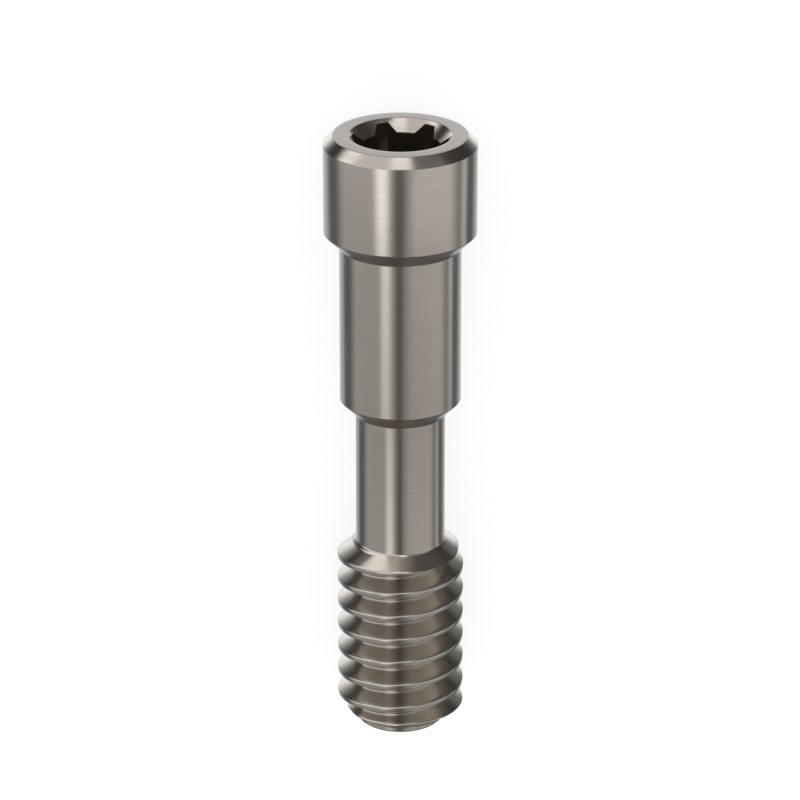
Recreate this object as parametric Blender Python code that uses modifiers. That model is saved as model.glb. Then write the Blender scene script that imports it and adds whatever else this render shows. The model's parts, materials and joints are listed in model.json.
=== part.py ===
# Impression coping screw: one turned titanium piece with an M2 thread, a neck, a collar and a head
# that takes a six-point driver. It is built standing on its tip, with its front at -Y, and is then
# laid on its back as it comes to rest: the head points to +Y, the front looks up, and the origin is
# on the floor under its middle. All sizes are in metres.

import math

import bmesh
import bpy
from mathutils import Matrix, Vector

# Tip below the thread
PILOT_DIAMETER = 0.00138
PILOT_LENGTH = 0.00010
PILOT_EDGE_CHAMFER = 0.00003

# Thread, metric 60 degree form, right-handed
THREAD_DIAMETER = 0.0020
THREAD_PITCH = 0.0004
THREAD_LENGTH = 0.0030
THREAD_CREST_WIDTH = 0.00008
THREAD_ROOT_WIDTH = 0.00001
THREAD_FLANK_DEG = 30.0
THREAD_END_DEG = 32.0
THREAD_CREST_HEIGHT_AT_FRONT = 0.000165

# Neck between the thread and the collar
NECK_DIAMETER = 0.00141
NECK_LENGTH = 0.00220

# Collar, with a conical lower shoulder
COLLAR_DIAMETER = 0.00190
COLLAR_LENGTH = 0.00278
COLLAR_SHOULDER_DEG = 45.0

# Head, with a conical seat below and a broken top edge
HEAD_DIAMETER = 0.00238
HEAD_LENGTH = 0.00179
HEAD_SEAT_DEG = 45.0
HEAD_EDGE_CHAMFER = 0.00015

# Driver socket: a drilled bore with a countersink, and six pointed slots broached round it
DRIVE_POINTS = 6
DRIVE_BORE_DIAMETER = 0.00123
DRIVE_SLOT_DIAMETER = 0.00149
DRIVE_SLOT_TIP_WIDTH = 0.00019
DRIVE_SLOT_FLANK_DEG = 30.0
DRIVE_SLOT_DEPTH = 0.00110
DRIVE_BORE_DEPTH = 0.00125
DRIVE_DRILL_POINT_DEG = 118.0
DRIVE_FIRST_SLOT_DEG = 52.0
COUNTERSINK_DIAMETER = 0.00158
COUNTERSINK_DEG = 45.0

# How far a cutter runs past the surface that it cuts
CUT_OVERRUN = 0.00003

# Facets of one turn, for the turned body and the thread alike
TURN_SEGMENTS = 48
SLOT_TIP_SEGMENTS = 2
SHARP_EDGE_DEG = 20.0
MERGE_DISTANCE = 1e-8

# Turning starts half a facet past the front, so that the screw lies on a facet and not on a corner.
TURN_START = math.pi / TURN_SEGMENTS - math.pi / 2

# Heights of the shoulders, worked up from the tip
THREAD_BOTTOM = PILOT_LENGTH
NECK_BOTTOM = THREAD_BOTTOM + THREAD_LENGTH
COLLAR_BOTTOM = NECK_BOTTOM + NECK_LENGTH
HEAD_BOTTOM = COLLAR_BOTTOM + COLLAR_LENGTH
HEAD_TOP = HEAD_BOTTOM + HEAD_LENGTH


def clear_scene():
    for obj in list(bpy.data.objects):
        bpy.data.objects.remove(obj, do_unlink=True)


def new_collection(name):
    collection = bpy.data.collections.new(name)
    bpy.context.scene.collection.children.link(collection)
    return collection


def add_object(name, mesh, collection):
    obj = bpy.data.objects.new(name, mesh)
    collection.objects.link(obj)
    return obj


def cone_rise(outer_diameter, inner_diameter, degrees):
    """Height of a cone between two diameters, its face at this angle to the flat."""
    return (outer_diameter - inner_diameter) / 2 * math.tan(math.radians(degrees))


def at_turn_start(radius, height):
    return (radius * math.cos(TURN_START), radius * math.sin(TURN_START), height)


def turned_object(name, outline, collection):
    """Turns an outline of (radius, height) points, listed from the top down, about the Z axis."""
    points = [at_turn_start(radius, height) for radius, height in outline]
    edges = [(i, i + 1) for i in range(len(points) - 1)]
    mesh = bpy.data.meshes.new(name)
    mesh.from_pydata(points, edges, [])
    obj = add_object(name, mesh, collection)
    screw = obj.modifiers.new("turn", "SCREW")
    screw.axis = "Z"
    screw.angle = math.tau
    screw.steps = TURN_SEGMENTS
    screw.render_steps = TURN_SEGMENTS
    screw.use_merge_vertices = True
    screw.merge_threshold = MERGE_DISTANCE
    return obj


def body_outline():
    """The blank's outline, from the middle of the head's top face down to the middle of the tip."""
    head = HEAD_DIAMETER / 2
    collar = COLLAR_DIAMETER / 2
    neck = NECK_DIAMETER / 2
    thread = THREAD_DIAMETER / 2
    pilot = PILOT_DIAMETER / 2
    head_seat = cone_rise(HEAD_DIAMETER, COLLAR_DIAMETER, HEAD_SEAT_DEG)
    shoulder = cone_rise(COLLAR_DIAMETER, NECK_DIAMETER, COLLAR_SHOULDER_DEG)
    thread_top = cone_rise(THREAD_DIAMETER, NECK_DIAMETER, THREAD_END_DEG)
    thread_foot = cone_rise(THREAD_DIAMETER, PILOT_DIAMETER, THREAD_END_DEG)
    return [
        (0.0, HEAD_TOP),
        (head - HEAD_EDGE_CHAMFER, HEAD_TOP),
        (head, HEAD_TOP - HEAD_EDGE_CHAMFER),
        (head, HEAD_BOTTOM + head_seat),
        (collar, HEAD_BOTTOM),
        (collar, COLLAR_BOTTOM + shoulder),
        (neck, COLLAR_BOTTOM),
        (neck, NECK_BOTTOM),
        (thread, NECK_BOTTOM - thread_top),
        (thread, THREAD_BOTTOM + thread_foot),
        (pilot, THREAD_BOTTOM),
        (pilot, PILOT_EDGE_CHAMFER),
        (pilot - PILOT_EDGE_CHAMFER, 0.0),
        (0.0, 0.0),
    ]


def thread_groove(collection):
    """The thread's groove as one solid: a V section swept up a right-handed helix."""
    slope = math.tan(math.radians(THREAD_FLANK_DEG))
    depth = (THREAD_PITCH - THREAD_CREST_WIDTH - THREAD_ROOT_WIDTH) / 2 / slope
    root = THREAD_DIAMETER / 2 - depth
    outside = THREAD_DIAMETER / 2 + CUT_OVERRUN
    root_half = THREAD_ROOT_WIDTH / 2
    outside_half = root_half + (outside - root) * slope

    # The helix starts a whole number of turns below the crest seen at the front, clear of the tip.
    first_groove = THREAD_CREST_HEIGHT_AT_FRONT + THREAD_PITCH / 2
    turns_below = math.ceil(first_groove / THREAD_PITCH) + 1
    start = first_groove - (turns_below - 0.5 / TURN_SEGMENTS) * THREAD_PITCH
    turns = math.ceil((NECK_BOTTOM - start) / THREAD_PITCH) + 1

    bm = bmesh.new()
    section = [
        (root, start + root_half),
        (root, start - root_half),
        (outside, start - outside_half),
        (outside, start + outside_half),
    ]
    face = bm.faces.new([bm.verts.new(at_turn_start(radius, height)) for radius, height in section])
    bmesh.ops.spin(
        bm,
        geom=[face, *face.edges, *face.verts],
        cent=(0.0, 0.0, 0.0),
        axis=(0.0, 0.0, 1.0),
        dvec=(0.0, 0.0, THREAD_PITCH / TURN_SEGMENTS),
        angle=math.tau * turns,
        steps=TURN_SEGMENTS * turns,
    )
    bmesh.ops.recalc_face_normals(bm, faces=bm.faces)
    mesh = bpy.data.meshes.new("thread_groove")
    bm.to_mesh(mesh)
    bm.free()
    return add_object("thread_groove", mesh, collection)


def socket_bore(collection):
    """Countersink, bore and drill point, turned as one cutter."""
    bore = DRIVE_BORE_DIAMETER / 2
    mouth = COUNTERSINK_DIAMETER / 2
    sink_slope = math.tan(math.radians(COUNTERSINK_DEG))
    bore_bottom = HEAD_TOP - DRIVE_BORE_DEPTH
    point = bore / math.tan(math.radians(DRIVE_DRILL_POINT_DEG / 2))
    outline = [
        (0.0, HEAD_TOP + CUT_OVERRUN),
        (mouth + CUT_OVERRUN / sink_slope, HEAD_TOP + CUT_OVERRUN),
        (bore, HEAD_TOP - (mouth - bore) * sink_slope),
        (bore, bore_bottom),
        (0.0, bore_bottom - point),
    ]
    return turned_object("socket_bore", outline, collection)


def slot_outline():
    """The six-point star: each point is cut off on the slot circle, and the walls meet in between."""
    slope = math.tan(math.radians(DRIVE_SLOT_FLANK_DEG))
    reach = DRIVE_SLOT_DIAMETER / 2
    half_tip = math.asin(DRIVE_SLOT_TIP_WIDTH / 2 / reach)
    tip_distance = reach * math.cos(half_tip)
    half_step = math.pi / DRIVE_POINTS
    valley_distance = (DRIVE_SLOT_TIP_WIDTH / 2 + tip_distance * slope) / (math.tan(half_step) + slope)
    valley = valley_distance / math.cos(half_step)

    points = []
    for index in range(DRIVE_POINTS):
        middle = math.radians(DRIVE_FIRST_SLOT_DEG) + math.tau * index / DRIVE_POINTS
        for step in range(SLOT_TIP_SEGMENTS + 1):
            angle = middle + half_tip * (2 * step / SLOT_TIP_SEGMENTS - 1)
            points.append((reach * math.cos(angle), reach * math.sin(angle)))
        angle = middle + half_step
        points.append((valley * math.cos(angle), valley * math.sin(angle)))
    return points


def socket_slots(collection):
    """The broach: the star outline from the slots' floor to above the head."""
    bm = bmesh.new()
    floor = HEAD_TOP - DRIVE_SLOT_DEPTH
    face = bm.faces.new([bm.verts.new((x, y, floor)) for x, y in slot_outline()])
    raised = bmesh.ops.extrude_face_region(bm, geom=[face])["geom"]
    lift = Matrix.Translation((0.0, 0.0, DRIVE_SLOT_DEPTH + CUT_OVERRUN))
    bmesh.ops.transform(bm, matrix=lift, verts=[v for v in raised if isinstance(v, bmesh.types.BMVert)])
    bmesh.ops.recalc_face_normals(bm, faces=bm.faces)
    mesh = bpy.data.meshes.new("socket_slots")
    bm.to_mesh(mesh)
    bm.free()
    return add_object("socket_slots", mesh, collection)


def cut(obj, cutter):
    cutter.hide_render = True
    cutter.display_type = "WIRE"
    boolean = obj.modifiers.new(cutter.name, "BOOLEAN")
    boolean.operation = "DIFFERENCE"
    boolean.solver = "EXACT"
    boolean.object = cutter


def finish_mesh(obj):
    """Applies the modifiers, then shades the round faces smooth and keeps the turned edges sharp."""
    bpy.context.view_layer.update()
    evaluated = obj.evaluated_get(bpy.context.evaluated_depsgraph_get())
    mesh = bpy.data.meshes.new_from_object(evaluated)
    mesh.name = obj.name
    obj.modifiers.clear()
    obj.data = mesh
    mesh.shade_smooth()
    mesh.set_sharp_from_angle(angle=math.radians(SHARP_EDGE_DEG))


def lean_at_rest(mesh):
    """Angle of the axis to the floor: the slope of the back's hull, seen from the side, at mid-length."""
    hull = []
    for along, height in sorted((vert.co.z, -vert.co.y) for vert in mesh.vertices):
        point = Vector((along, height))
        while len(hull) > 1 and (hull[-1] - hull[-2]).cross(point - hull[-2]) <= 0:
            hull.pop()
        hull.append(point)
    for nearer_tip, nearer_head in zip(hull, hull[1:]):
        if nearer_tip.x <= HEAD_TOP / 2 <= nearer_head.x:
            return math.atan2(nearer_tip.y - nearer_head.y, nearer_head.x - nearer_tip.x)


def resting_place(mesh):
    """Matrix that lays the standing screw on its back, with its middle over the origin."""
    laid = Matrix.Rotation(lean_at_rest(mesh) - math.pi / 2, 4, "X")
    points = [laid @ vert.co for vert in mesh.vertices]
    low = [min(point[axis] for point in points) for axis in range(3)]
    high = [max(point[axis] for point in points) for axis in range(3)]
    return Matrix.Translation((-(low[0] + high[0]) / 2, -(low[1] + high[1]) / 2, -low[2])) @ laid


def titanium():
    material = bpy.data.materials.new("titanium")
    material.use_nodes = True
    shader = material.node_tree.nodes["Principled BSDF"]
    shader.inputs["Base Color"].default_value = (0.43, 0.40, 0.37, 1.0)
    shader.inputs["Metallic"].default_value = 1.0
    shader.inputs["Roughness"].default_value = 0.28
    return material


def main():
    clear_scene()
    parts = new_collection("impression_coping_screw")
    cutters = new_collection("cutters")
    screw = turned_object("coping_screw", body_outline(), parts)
    cut(screw, thread_groove(cutters))
    cut(screw, socket_bore(cutters))
    cut(screw, socket_slots(cutters))
    finish_mesh(screw)
    screw.data.transform(resting_place(screw.data))
    screw.data.materials.append(titanium())


main()
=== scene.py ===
# Impression coping screw, dressed for its studio picture. The fine mesh is built standing on its tip, in
# millimetres, and is then laid down as the frame's solid lies.
import json
import math

import bmesh
import bpy
import numpy as np
from mathutils import Matrix, Vector


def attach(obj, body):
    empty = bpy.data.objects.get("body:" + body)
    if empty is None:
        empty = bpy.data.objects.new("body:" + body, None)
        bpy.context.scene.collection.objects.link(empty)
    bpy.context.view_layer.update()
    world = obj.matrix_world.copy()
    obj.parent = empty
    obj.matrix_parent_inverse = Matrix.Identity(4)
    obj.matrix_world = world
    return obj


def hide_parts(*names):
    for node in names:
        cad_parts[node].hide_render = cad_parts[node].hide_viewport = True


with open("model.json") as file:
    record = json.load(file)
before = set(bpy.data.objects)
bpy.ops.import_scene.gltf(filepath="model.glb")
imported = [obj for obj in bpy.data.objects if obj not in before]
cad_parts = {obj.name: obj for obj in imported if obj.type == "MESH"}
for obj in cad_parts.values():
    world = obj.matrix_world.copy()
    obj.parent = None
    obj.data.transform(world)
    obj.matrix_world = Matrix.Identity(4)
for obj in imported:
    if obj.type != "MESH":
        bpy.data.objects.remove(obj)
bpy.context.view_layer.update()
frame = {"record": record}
mm = 0.001


# Where the screw lies: its tip and its axis, from the mount on the tip
tipMount = next(m for m in frame["record"]["mounts"] if m["name"] == "tip_face")
tipPlace = Vector(tipMount["pos_m"])
screwAxis = -Vector(tipMount["axis"]).normalized()
screwRight = Vector((1, 0, 0))
screwBack = screwRight.cross(-screwAxis).normalized()  # the standing screw's +Y, which lies below
layDown = Matrix.Translation(tipPlace) @ Matrix((screwRight, screwBack, screwAxis)).transposed().to_4x4()


# The mesh's own frame has its Z along the world's +Y, near the screw's axis, which the brushing needs
ownTurn = Matrix.Rotation(-math.pi / 2, 4, "X")
localTip = ownTurn.inverted() @ tipPlace
localAxis = ownTurn.inverted() @ screwAxis
print("frame: loaded, the screw's axis rises", round(math.degrees(math.asin(screwAxis.z)), 2), "degrees")


# Screw

screwShape = {  # millimetres, with heights from the tip
    "arcSteps": 6,
    "mergeWithin": 2e-5,  # points this close become one
    "collapseWithin": 1e-5,  # edges this short go
    # Turned body
    "pilotRadius": 0.69,
    "tipChamfer": 0.03,
    "tipRounding": 0.012,
    "neckRadius": 0.705,
    "neckTop": 5.30,
    "neckRounding": 0.025,
    "collarRadius": 0.95,
    "collarTop": 8.08,
    "shoulderRounding": 0.022,
    "headRadius": 1.19,
    "headTop": 9.87,
    "headChamfer": 0.15,
    "headRounding": 0.014,
    "topRounding": 0.010,
    # Thread
    "threadFoot": 0.05,
    "threadTop": 3.25,
    "pitch": 0.4,
    "grooveAtFront": 0.365,  # the height of the groove's middle there
    "crestRadius": 1.0,
    "crestHalf": 0.04,
    "crestFlat": 0.02,
    "crestFall": 0.9,  # how fast the crest curves inwards below its flat part, per mm
    "crestRounding": 0.012,
    "rootRadius": 0.7415,
    "rootHalf": 0.014,
    "rootRounding": 0.0235,
    "flankDegrees": 30,
    "lowConeDegrees": 31,
    "lowConeHeight": 0.102,
    "highConeDegrees": 32,
    "highConeHeight": 3.137,
    "coneRounding": 0.007,
    "rootRows": [0.004, 0.008, 0.012, 0.016, 0.020, 0.024, 0.0285, 0.034],  # from the groove's middle
    "flankRows": 4,
    "edgeRows": [-0.018, -0.010, *np.linspace(-0.007, 0.007, 7), 0.015, 0.027],  # from the crest's edge
    # Socket
    "slots": 6,
    "firstSlotDegrees": 52,  # from the right towards the back
    "rimRadius": 0.79,
    "rimRounding": 0.010,
    "slotRadius": 0.745,
    "slotHalfDegrees": 7.3,
    "slotDepth": 1.10,
    "slotEdgeRounding": 0.009,
    "wallFootDegrees": 17.2,
    "cornerRounding": 0.0025,
    "cornerColumns": [-0.0145, -0.0035, 0.0035, 0.0145],  # from each corner, along the outline
    "columnsBetween": (3, 3, 2),  # on half a bore stretch, on a wall and on half a slot's end
    "boreRadius": 0.615,
    "boreDepth": 1.25,
    "pointDegrees": 118,
    "rimSteps": 5,
    "flatTop": (1.03, 0.796),  # the radii between which the flat top's rings lie
    "flatRings": 3,
}


def roundedOutline(corners, steps):  # (radius, height, rounding) corners, with an arc at each rounded one
    out = []
    for n, (radius, height, rounding) in enumerate(corners):
        here = np.array((radius, height), float)
        if not rounding:
            out.append(here)
            continue
        before = np.array(corners[n - 1][:2], float) - here
        after = np.array(corners[n + 1][:2], float) - here
        before /= np.linalg.norm(before)
        after /= np.linalg.norm(after)
        half = math.acos(np.clip(before @ after, -1, 1)) / 2
        reach = rounding / math.tan(half)
        middle = here + (before + after) / np.linalg.norm(before + after) * rounding / math.sin(half)
        first, last = here + before * reach - middle, here + after * reach - middle
        turn = math.acos(np.clip(first @ last / rounding**2, -1, 1))
        for step in range(steps + 1):
            done = step / steps * turn
            out.append(middle + (first * math.sin(turn - done) + last * math.sin(done)) / math.sin(turn))
    return np.array(out)


def softMin(a, b, blend):  # the smaller one, rounded where the two cross
    near = np.maximum(blend - np.abs(a - b), 0) / blend
    return np.minimum(a, b) - near * near * blend / 4


def softMax(a, b, blend):
    return -softMin(-a, -b, blend)


def tipCorners(shape):
    pilot, chamfer, rounding = shape["pilotRadius"], shape["tipChamfer"], shape["tipRounding"]
    foot = shape["threadFoot"]
    return [(0, 0, 0), (pilot - chamfer, 0, rounding), (pilot, chamfer, rounding), (pilot, foot, 0)]


def upperCorners(shape):  # from the thread's top to the head's, and a last point that only guides the arc
    neck, collar, head = shape["neckRadius"], shape["collarRadius"], shape["headRadius"]
    neckTop, collarTop, top = shape["neckTop"], shape["collarTop"], shape["headTop"]
    chamfer = shape["headChamfer"]
    return [
        (neck, shape["threadTop"], 0),
        (neck, neckTop, shape["neckRounding"]),
        (collar, neckTop + collar - neck, shape["shoulderRounding"]),
        (collar, collarTop, shape["shoulderRounding"]),
        (head, collarTop + head - collar, shape["shoulderRounding"]),
        (head, top - chamfer, shape["headRounding"]),
        (head - chamfer, top, shape["topRounding"]),
        (shape["rimRadius"], top, 0),
    ]


def turnedRows(outline, angles):
    flat = np.stack([np.cos(angles), np.sin(angles)], axis=-1)
    return np.stack([np.column_stack([flat * out, np.full(len(angles), up)]) for out, up in outline])


def threadPhases(shape):  # the rows' heights above the groove's middle, for one pitch
    half = shape["pitch"] / 2
    root = np.array(shape["rootRows"])
    edge = half - shape["crestHalf"] + np.array(shape["edgeRows"])
    flank = np.linspace(root[-1], edge[0], shape["flankRows"] + 2)[1:-1]
    side = np.concatenate([root, flank, edge])
    return np.concatenate([[0], side, [half], shape["pitch"] - side[::-1]])


def threadRadius(shape, angle, height):
    pitch, blend = shape["pitch"], shape["crestRounding"]
    flankSlope, lowSlope, highSlope = (
        1 / math.tan(math.radians(shape[part + "Degrees"])) for part in ("flank", "lowCone", "highCone")
    )
    groove = shape["grooveAtFront"] + pitch * angle / math.tau
    away = (height - groove + pitch / 2) % pitch - pitch / 2
    flank = (np.abs(away) - shape["rootHalf"]) * flankSlope
    wall = shape["rootRadius"] + softMax(flank, 0, shape["rootRounding"])
    below = (shape["crestHalf"] - away) % pitch - pitch / 2  # from the crest's upper edge
    crest = shape["crestRadius"] - shape["crestFall"] * np.maximum(below - shape["crestFlat"], 0) ** 2
    low = shape["pilotRadius"] + (height - shape["lowConeHeight"]) * lowSlope
    high = shape["neckRadius"] + (shape["highConeHeight"] - height) * highSlope
    radius = softMin(softMin(wall, crest, blend), softMin(low, high, blend), shape["coneRounding"])
    middle = (shape["threadFoot"] + shape["threadTop"]) / 2
    return softMax(radius, np.where(height < middle, shape["pilotRadius"], shape["neckRadius"]), blend)


def threadRows(shape, turns):  # helical rows that stop level at both ends
    pitch, foot, top = shape["pitch"], shape["threadFoot"], shape["threadTop"]
    first = shape["grooveAtFront"] - pitch * (math.ceil((shape["grooveAtFront"] - foot) / pitch) + 1)
    count = math.ceil((top - first) / pitch) + 1
    starts = (first + pitch * np.arange(count)[:, None] + threadPhases(shape)[None, :]).ravel()
    heights = np.clip(starts[:, None] + pitch * turns[None, :], foot, top)
    angles = np.broadcast_to(turns * math.tau, heights.shape)
    radii = threadRadius(shape, angles, heights)
    front = angles - math.pi / 2
    rows = np.stack([radii * np.cos(front), radii * np.sin(front), heights], axis=-1)
    moving = np.ptp(heights, axis=1) > 0
    moving[0] = True  # the level row at the thread's foot
    return rows[moving]


def socketStar(shape):  # the socket's outline from above, one point for each column, as complex numbers
    arcPoints, sidePoints = 200, 2000
    bore, slot, slots = shape["boreRadius"], shape["slotRadius"], shape["slots"]
    tip, foot = math.radians(shape["slotHalfDegrees"]), math.radians(shape["wallFootDegrees"])
    sector = math.tau / slots
    key = np.concatenate(
        [
            bore * np.exp(1j * np.linspace(-sector / 2, -foot, arcPoints)),
            slot * np.exp(1j * np.linspace(-tip, tip, arcPoints)),
            bore * np.exp(1j * np.linspace(foot, sector / 2, arcPoints))[:-1],
        ]
    )
    turns = np.exp(1j * (math.radians(shape["firstSlotDegrees"]) + sector * np.arange(-1, slots - 1)))
    whole = (turns[:, None] * key[None, :]).ravel()
    closed = np.append(whole, whole[0])
    lengths = np.append(0, np.cumsum(np.abs(np.diff(closed))))
    around = lengths[-1]

    # Corners are rounded by a blur along the outline
    dense = slots * sidePoints
    even = np.arange(dense) * around / dense
    evenly = np.interp(even, lengths, closed.real) + 1j * np.interp(even, lengths, closed.imag)
    waves = np.fft.fftfreq(dense, around / dense) * math.tau
    softened = np.fft.ifft(np.fft.fft(evenly) * np.exp(-((waves * shape["cornerRounding"]) ** 2) / 2))

    # Columns from the middle of a bore stretch to the middle of a slot, and the same mirrored
    middle = around / slots / 2
    onBore, onWall, onSlot = shape["columnsBetween"]
    near = np.array(shape["cornerColumns"])
    wallFoot = bore * (sector / 2 - foot) + near
    wallHead = middle - slot * tip + near
    half = np.concatenate(
        [
            np.linspace(0, wallFoot[0], onBore + 1)[:-1],
            wallFoot,
            np.linspace(wallFoot[-1], wallHead[0], onWall + 2)[1:-1],
            wallHead,
            np.linspace(wallHead[-1], middle, onSlot + 2)[1:],
        ]
    )
    side = np.concatenate([half, 2 * middle - half[-2:0:-1]])
    places = (2 * middle * np.arange(slots)[:, None] + side[None, :]).ravel()
    grid = np.append(even, around)
    looped = np.append(softened, softened[0])
    return np.interp(places, grid, looped.real) + 1j * np.interp(places, grid, looped.imag)


def socketRows(shape, star, angles):
    first = np.argmin(np.abs(np.angle(np.exp(1j * angles[:-1]) / star[0])))  # the column nearest to its start
    star = np.roll(star, first)
    star = np.append(star, star[0])
    turned = np.unwrap(np.angle(star))
    turned += math.tau * np.round((angles[0] - turned[0]) / math.tau)
    rim, bore, top = shape["rimRadius"], shape["boreRadius"], shape["headTop"]
    floor, deep = top - shape["slotDepth"], top - shape["boreDepth"]
    point = deep - bore / math.tan(math.radians(shape["pointDegrees"] / 2))
    outer, inner = shape["flatTop"]
    rings = []
    for part in np.linspace(0, 1, shape["flatRings"] + 2)[1:-1]:
        radius = outer + (inner - outer) * part
        mixed = angles + (turned - angles) * part
        flat = np.full(len(mixed), top)
        rings.append(np.column_stack([radius * np.cos(mixed), radius * np.sin(mixed), flat]))
    wells = []
    for angle, radius in zip(turned, np.abs(star)):
        corners = [
            (outer, top, 0),
            (rim, top, shape["rimRounding"]),
            (radius, top - rim + radius, shape["slotEdgeRounding"]),
            (radius, floor, 0),
            (bore, floor, 0),
            (bore, deep, 0),
            (0, point, 0),
        ]
        well = roundedOutline(corners, shape["rimSteps"])[1:]
        out, up = well.T
        wells.append(np.column_stack([out * math.cos(angle), out * math.sin(angle), up]))
    return np.concatenate([np.stack(rings), np.stack(wells, axis=1)])


def screwMesh(shape):
    star = socketStar(shape)
    turns = np.arange(len(star) + 1) / len(star)
    angles = turns * math.tau - math.pi / 2
    steps = shape["arcSteps"]
    rows = np.concatenate(
        [
            turnedRows(roundedOutline(tipCorners(shape), steps), angles),
            threadRows(shape, turns),
            turnedRows(roundedOutline(upperCorners(shape), steps)[:-1], angles),
            socketRows(shape, star, angles),
        ]
    )
    high, wide = rows.shape[:2]
    at = np.arange(high * wide).reshape(high, wide)
    faces = np.stack([at[:-1, :-1], at[:-1, 1:], at[1:, 1:], at[1:, :-1]], axis=-1).reshape(-1, 4)
    mesh = bpy.data.meshes.new("copingScrewFine")
    mesh.from_pydata((rows.reshape(-1, 3) * mm).tolist(), [], faces.tolist())
    work = bmesh.new()
    work.from_mesh(mesh)
    bmesh.ops.remove_doubles(work, verts=work.verts, dist=shape["mergeWithin"] * mm)
    bmesh.ops.dissolve_degenerate(work, edges=work.edges, dist=shape["collapseWithin"] * mm)
    for face in work.faces:
        face.smooth = True
    work.to_mesh(mesh)
    work.free()
    return mesh


def addScrew(shape, material):
    mesh = screwMesh(shape)
    screw = bpy.data.objects.new("copingScrewFine", mesh)
    bpy.context.scene.collection.objects.link(screw)
    mesh.transform(ownTurn.inverted() @ layDown)
    screw.matrix_world = ownTurn
    mesh.materials.append(material)
    screw.modifiers.new("evenShading", "WEIGHTED_NORMAL")
    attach(screw, "root")
    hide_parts("coping_screw")
    triangles = sum(len(face.vertices) - 2 for face in mesh.polygons)
    print("screw:", len(mesh.vertices), "vertices", triangles, "triangles")


# Node helpers


class Value:  # a socket's output, so that shader maths reads as plain maths
    def __init__(self, sheet, socket):
        self.sheet = sheet
        self.socket = socket

    def math(self, operation, *others):
        return self.sheet.add("ShaderNodeMath", {"operation": operation}, dict(enumerate([self, *others])))

    def __add__(self, other):
        return self.math("ADD", other)

    def __sub__(self, other):
        return self.math("SUBTRACT", other)

    def __mul__(self, other):
        return self.math("MULTIPLY", other)

    def __rsub__(self, other):
        return self.sheet.add("ShaderNodeMath", {"operation": "SUBTRACT"}, {0: other, 1: self})

    __radd__ = __add__
    __rmul__ = __mul__

    def mapped(self, low, high, first, last):  # low..high becomes first..last, and stays within
        return self.sheet.add("ShaderNodeMapRange", None, {0: self, 1: low, 2: high, 3: first, 4: last})


class NodeSheet:  # the nodes of one material or of the world
    def __init__(self, tree):
        self.tree = tree
        tree.nodes.clear()

    def add(self, kind, settings=None, sockets=None, output=0):
        node = self.tree.nodes.new(kind)
        for name, setting in (settings or {}).items():
            setattr(node, name, setting)
        for name, given in (sockets or {}).items():
            if isinstance(given, Value):
                self.tree.links.new(given.socket, node.inputs[name])
            else:
                node.inputs[name].default_value = given
        return Value(self, node.outputs[output]) if node.outputs else node

    def mixColour(self, factor, first, second):
        return self.add("ShaderNodeMix", {"data_type": "RGBA"}, {0: factor, 6: first, 7: second}, 2)

    def vector(self, operation, first, second=None, output=0):
        given = {0: first} if second is None else {0: first, 1: second}
        return self.add("ShaderNodeVectorMath", {"operation": operation}, given, output)

    def scaled(self, direction, length):
        return self.add("ShaderNodeVectorMath", {"operation": "SCALE"}, {0: direction, "Scale": length})

    def combine(self, x, y, z):
        return self.add("ShaderNodeCombineXYZ", None, {0: x, 1: y, 2: z})

    def parts(self, vector):
        node = self.add("ShaderNodeSeparateXYZ", None, {0: vector}).socket.node
        return [Value(self, socket) for socket in node.outputs]

    def noise(self, at, fineness, scale=1.0):  # fineness is its detail and its roughness
        given = {"Vector": at, "Scale": scale, "Detail": fineness[0], "Roughness": fineness[1]}
        return self.add("ShaderNodeTexNoise", None, given)


def softMask(distance, half, soft):  # 1 within half, falling to 0 across the soft edge
    return distance.sheet.add(
        "ShaderNodeMapRange",
        {"interpolation_type": "SMOOTHSTEP"},
        {0: distance, 1: half - soft / 2, 2: half + soft / 2, 3: 1.0, 4: 0.0},
    )


# Titanium

titaniumLook = {
    "colour": (0.55, 0.50, 0.45),
    "shadeColour": (0.40, 0.36, 0.32),
    "shadeFrom": 0.2,  # how much of the shade stays hidden
    "roughness": 0.17,
    "brushing": 0.5,
    "brushingTurn": 0.25,
    "noiseRange": (0.3, 0.7),  # where most of a noise's values lie
    # Fine tool marks
    "marksPerMm": 32,
    "marksOnTop": 0.7,  # how close they are out from the axis, against along it
    "marksRound": 0.9,  # how soon they change round the screw
    "marksFineness": (3.0, 0.55),
    "marksRange": (0.38, 0.62),
    "markShade": 0.30,
    "markRoughness": (-0.005, 0.01),
    "markDepth": 0.05e-6,  # metres
    # Broader bands of them
    "bandsPerMm": 5,
    "bandsRound": 0.7,
    "bandsFineness": (2.0, 0.5),
    "bandShade": 0.10,
    "bandRoughness": (-0.005, 0.005),
    # Hair scratches
    "hairsRound": 2.3,
    "hairsAlong": 1.5,
    "hairsLean": 1.2,
    "hairsFineness": (1.0, 0.4),
    "hairMiddle": 0.5,
    "hairWidth": (0.004, 0.006),
    "placesPerMm": 2.6,
    "placesFineness": (1.0, 0.5),
    "placesRange": (0.60, 0.68),  # the few places that keep them
    "scratchRoughness": 0.15,
    "scratchDepth": 0.5e-6,  # metres
    # Painted shade inside the socket: a near-black, less metallic colour that stands for the shade in its
    # recess
    "socketShadeColour": (0.042, 0.033, 0.025),
    "socketShadeMetal": 0.5,
    "socketShadeEdge": (-0.012, 0.012),  # where the painted shade starts below the cone, and how soft it starts, in mm
    "socketShadeReach": (0.768, 0.010),
    "socketShadeBottom": (8.1, 8.2),
}


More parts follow.
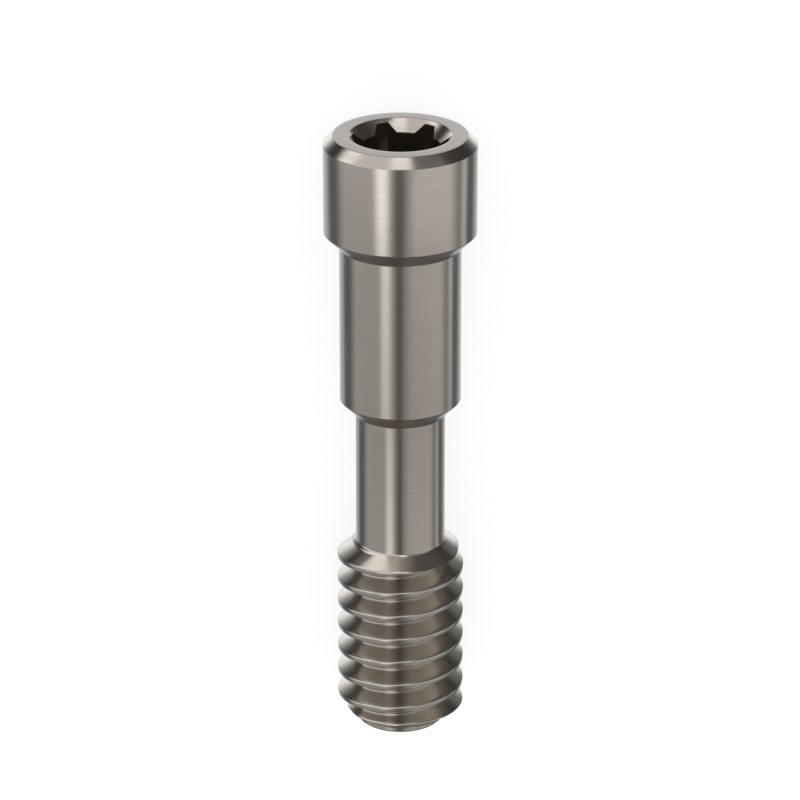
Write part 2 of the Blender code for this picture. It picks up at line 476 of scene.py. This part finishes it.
def titaniumMaterial(look):
    material = bpy.data.materials.new("turnedTitanium")
    material.use_nodes = True
    sheet = NodeSheet(material.node_tree)

    # Millimetres along the screw from its tip, and out from its axis
    place = sheet.add("ShaderNodeTexCoord", None, None, "Object")
    place = sheet.vector("SUBTRACT", place, localTip)
    place = sheet.vector("MULTIPLY", place, (1 / mm, 1 / mm, 1 / mm))
    along = sheet.vector("DOT_PRODUCT", place, localAxis, 1)
    out = sheet.vector("LENGTH", sheet.vector("SUBTRACT", place, sheet.scaled(localAxis, along)), None, 1)
    across, back, _ = sheet.parts(place)

    # Tool marks run round the screw, and round the flat top as rings
    rings = (along + out * look["marksOnTop"]) * look["marksPerMm"]
    marksAt = sheet.combine(across * look["marksRound"], back * look["marksRound"], rings)
    marks = sheet.noise(marksAt, look["marksFineness"])
    bandRings = (along + out) * look["bandsPerMm"]
    bandsAt = sheet.combine(across * look["bandsRound"], back * look["bandsRound"], bandRings)
    bands = sheet.noise(bandsAt, look["bandsFineness"])

    # A few hair scratches: thin lines where a slow noise passes its middle, kept in a few places only
    slant = along * look["hairsAlong"] + across * look["hairsLean"]
    hairsAt = sheet.combine(across * look["hairsRound"], back * look["hairsRound"], slant)
    hairs = sheet.noise(hairsAt, look["hairsFineness"])
    places = sheet.noise(place, look["placesFineness"], look["placesPerMm"])
    thin = softMask((hairs - look["hairMiddle"]).math("ABSOLUTE"), *look["hairWidth"])
    scratches = thin * places.mapped(*look["placesRange"], 0, 1)

    # Painted shade: inside the broached socket, below the cone, the colour is made near-black and less
    # metallic for the shade in the recess
    coneFoot = screwShape["headTop"] - screwShape["rimRadius"]
    socketShadeMask = softMask(along - out - coneFoot, *look["socketShadeEdge"])
    socketShadeMask = socketShadeMask * softMask(out, *look["socketShadeReach"]) * along.mapped(*look["socketShadeBottom"], 0, 1)

    shade = marks.mapped(*look["marksRange"], 0, look["markShade"]) - look["shadeFrom"]
    shade = bands.mapped(*look["noiseRange"], 0, look["bandShade"]) + shade
    colour = sheet.mixColour(shade, (*look["colour"], 1), (*look["shadeColour"], 1))
    # painted shade: the socket's recess gets the near-black colour here
    colour = sheet.mixColour(socketShadeMask, colour, (*look["socketShadeColour"], 1))

    roughness = marks.mapped(*look["noiseRange"], *look["markRoughness"]) + look["roughness"]
    roughness = bands.mapped(*look["noiseRange"], *look["bandRoughness"]) + roughness
    roughness = scratches * look["scratchRoughness"] + roughness
    marked = sheet.add("ShaderNodeBump", None, {"Distance": look["markDepth"], "Height": marks})
    scratched = sheet.add(
        "ShaderNodeBump",
        {"invert": True},
        {"Distance": look["scratchDepth"], "Height": scratches, "Normal": marked},
    )
    surface = sheet.add(
        "ShaderNodeBsdfPrincipled",
        None,
        {
            "Base Color": colour,
            # painted shade: the socket's recess is also made less metallic
            "Metallic": socketShadeMask.mapped(0, 1, 1, look["socketShadeMetal"]),
            "Roughness": roughness,
            "Anisotropic": look["brushing"],
            "Anisotropic Rotation": look["brushingTurn"],
            "Normal": scratched,
        },
    )
    sheet.add("ShaderNodeOutputMaterial", None, {"Surface": surface})
    print("titanium:", len(material.node_tree.nodes), "nodes")
    return material


# Floor

floorLook = {
    "size": 0.6,  # metres
    "colour": (0.27, 0.27, 0.27),
    "glow": 0.79,
}


def addFloor(look):
    half = look["size"] / 2
    mesh = bpy.data.meshes.new("studioFloor")
    corners = [(-half, -half, 0), (half, -half, 0), (half, half, 0), (-half, half, 0)]
    mesh.from_pydata(corners, [], [(0, 1, 2, 3)])
    floor = bpy.data.objects.new("studioFloor", mesh)
    bpy.context.scene.collection.objects.link(floor)
    material = bpy.data.materials.new("paleFloor")
    material.use_nodes = True
    sheet = NodeSheet(material.node_tree)
    seen = sheet.add("ShaderNodeLightPath", None, None, "Is Camera Ray")
    for rayKind in ("Is Glossy Ray", "Is Transmission Ray"):
        seen = seen.math("MAXIMUM", sheet.add("ShaderNodeLightPath", None, None, rayKind))
    matt = sheet.add("ShaderNodeBsdfDiffuse", None, {"Color": (*look["colour"], 1)})
    glow = sheet.add("ShaderNodeEmission", None, {"Color": (1, 1, 1, 1), "Strength": seen * look["glow"]})
    both = sheet.add("ShaderNodeAddShader", None, {0: matt, 1: glow})
    sheet.add("ShaderNodeOutputMaterial", None, {"Surface": both})
    mesh.materials.append(material)
    floor.visible_glossy = False  # the metal sees the walls' lower halves in its place, as in the photo
    print("floor:", look["size"], "m square")


# Room

# Walls, soft boxes and dark gaps as the metal sees them, while a camera sees the same world as white.
# "around" is the angle about the world's Y, near the screw's axis: 0 above it, positive to its right.
# "along" is how far a direction leans to the head, 1, or to the tip, -1. "over" is how far it leans upwards.
# Each holds a middle, half the width and the width of the soft edge. Later boxes cover earlier ones.
roomLook = {
    "gapColour": (0.16, 0.16, 0.165),
    "boxes": {
        "highGaps": {"around": (180, 98, 10), "along": (0.62, 0.30, 0.14), "colour": (0.06, 0.06, 0.06)},
        "ceiling": {"around": (0, 400, 1), "along": (1.0, 0.28, 0.16), "colour": (0.11, 0.11, 0.11)},
        "leftWall": {"around": (-56, 46, 26), "along": (0.2, 0.9, 0.1), "colour": (0.53, 0.53, 0.54)},
        "rightGap": {"around": (98, 14, 10), "along": (-0.30, 0.24, 0.14), "colour": (0.28, 0.28, 0.28)},
        "rightWall": {"around": (50, 38, 26), "along": (-0.26, 0.22, 0.16), "colour": (0.76, 0.76, 0.76)},
        "rightWallHigh": {"around": (44, 40, 22), "along": (0.35, 0.48, 0.16), "colour": (0.48, 0.48, 0.48)},
        "lowWall": {"around": (-8, 90, 16), "along": (-0.625, 0.195, 0.08), "colour": (0.39, 0.39, 0.39)},
        "lowGap": {"around": (-4, 16, 40), "along": (-0.66, 0.18, 0.10), "colour": (0.15, 0.15, 0.15)},
        "leftWindow": {
            "around": (-59, 60, 24),
            "along": (0.37, 0.60, 0.12),
            "over": (0.75, 1.0, 0.12),
            "colour": (0.92, 0.92, 0.92),
        },
        "strip": {"around": (-27.5, 9, 14), "along": (-0.29, 0.16, 0.10), "colour": (1.58, 1.58, 1.56)},
        "frontGap": {"around": (-2, 6, 8), "along": (-0.50, 0.30, 0.10), "colour": (0.13, 0.13, 0.13)},
        "lowStrip": {"around": (36, 9, 16), "along": (-0.73, 0.07, 0.06), "colour": (1.10, 1.10, 1.10)},
        "frontFill": {"around": (7, 18, 14), "along": (0.3, 0.50, 0.14), "colour": (0.32, 0.32, 0.32)},
        "smallStrip": {"around": (110, 6, 12), "along": (-0.29, 0.14, 0.10), "colour": (0.72, 0.72, 0.73)},
        "leftCorner": {"around": (-134, 16, 16), "along": (0.78, 0.14, 0.10), "colour": (0.18, 0.18, 0.18)},
        "rightCorner": {"around": (150, 12, 16), "along": (0.52, 0.10, 0.14), "colour": (0.22, 0.22, 0.22)},
        "backWall": {"around": (183, 42, 20), "along": (-0.22, 0.40, 0.16), "colour": (0.55, 0.59, 0.62)},
        "backSky": {"around": (182, 38, 16), "along": (0.32, 0.20, 0.14), "colour": (0.24, 0.25, 0.26)},
        "backLight": {"around": (183, 28.5, 20), "along": (0.07, 0.28, 0.45), "colour": (1.26, 1.30, 1.34)},
        "backWindow": {"around": (180, 19, 14), "along": (-0.28, 0.18, 0.14), "colour": (1.00, 1.03, 1.06)},
        "ceilingRight": {"around": (50, 32, 20), "along": (1.2, 0.50, 0.2), "colour": (0.22, 0.22, 0.22)},
        "ceilingLeft": {"around": (-47, 71, 17), "along": (1.2, 0.54, 0.2), "colour": (0.86, 0.86, 0.86)},
        "cornerLamp": {
            "around": (-79, 38.5, 17),
            "along": (0.80, 0.28, 0.14),
            "over": (-0.54, 0.50, 0.14),
            "colour": (1.38, 1.38, 1.38),
        },
        "coneLamp": {"around": (-107, 7, 12), "along": (0.93, 0.16, 0.12), "colour": (1.60, 1.60, 1.60)},
        "topLamp": {"around": (3, 30, 24), "along": (1.0, 0.10, 0.08), "colour": (1.43, 1.43, 1.43)},
        "ground": {"around": (0, 400, 1), "along": (-1, 0.18, 0.10), "colour": (0.17, 0.17, 0.17)},
        "groundDark": {"around": (-25, 25, 24), "along": (-1, 0.18, 0.10), "colour": (0.13, 0.13, 0.13)},
        "groundPale": {"around": (52, 32, 24), "along": (-1, 0.18, 0.10), "colour": (0.21, 0.21, 0.21)},
    },
}


def setWorld(look):
    world = bpy.data.worlds.new("paleStudio")
    bpy.context.scene.world = world
    world.use_nodes = True
    sheet = NodeSheet(world.node_tree)
    across, along, over = sheet.parts(sheet.add("ShaderNodeTexCoord", None, None, "Generated"))
    around = across.math("ARCTAN2", over) * (180 / math.pi)
    room = (*look["gapColour"], 1)
    for box in look["boxes"].values():
        middle, half, soft = box["around"]
        mask = softMask((around - middle).math("WRAP", 180.0, -180.0).math("ABSOLUTE"), half, soft)
        for direction, name in ((along, "along"), (over, "over")):
            if name in box:
                middle, half, soft = box[name]
                mask = mask * softMask((direction - middle).math("ABSOLUTE"), half, soft)
        room = sheet.mixColour(mask, room, (*box["colour"], 1))
    glossy = sheet.add("ShaderNodeLightPath", None, None, "Is Glossy Ray")
    colour = sheet.mixColour(glossy, (1, 1, 1, 1), room)
    background = sheet.add("ShaderNodeBackground", None, {"Color": colour})
    sheet.add("ShaderNodeOutputWorld", None, {"Surface": background})
    print("world:", len(look["boxes"]), "soft boxes and gaps")


# Camera

cameraLook = {  # millimetres and degrees, about the standing screw
    "elevation": 22.82,
    "distance": 66.048,
    "targetHeight": 5.4836,
    "sideways": -0.0055,
    "lens": 190.11,
    "sensorWidth": 36,
    "nearest": 1,
    "farthest": 2000,
}


def addCamera(look):
    up = math.radians(look["elevation"])
    back = Vector((0, -math.cos(up), math.sin(up)))
    place = Vector((look["sideways"], 0, look["targetHeight"])) + back * look["distance"]
    turned = Matrix((screwRight, back.cross(screwRight), back)).transposed().to_4x4()
    data = bpy.data.cameras.new("photoCamera")
    data.lens = look["lens"]
    data.sensor_width = look["sensorWidth"]
    data.clip_start = look["nearest"] * mm
    data.clip_end = look["farthest"] * mm
    eye = bpy.data.objects.new("photoCamera", data)
    bpy.context.scene.collection.objects.link(eye)
    eye.matrix_world = layDown @ Matrix.Translation(place * mm) @ turned
    bpy.context.scene.camera = eye
    print("camera:", look["distance"], "mm away,", look["elevation"], "degrees up")


addScrew(screwShape, titaniumMaterial(titaniumLook))
addFloor(floorLook)
setWorld(roomLook)
addCamera(cameraLook)
bpy.context.scene.view_settings.view_transform = "Standard"
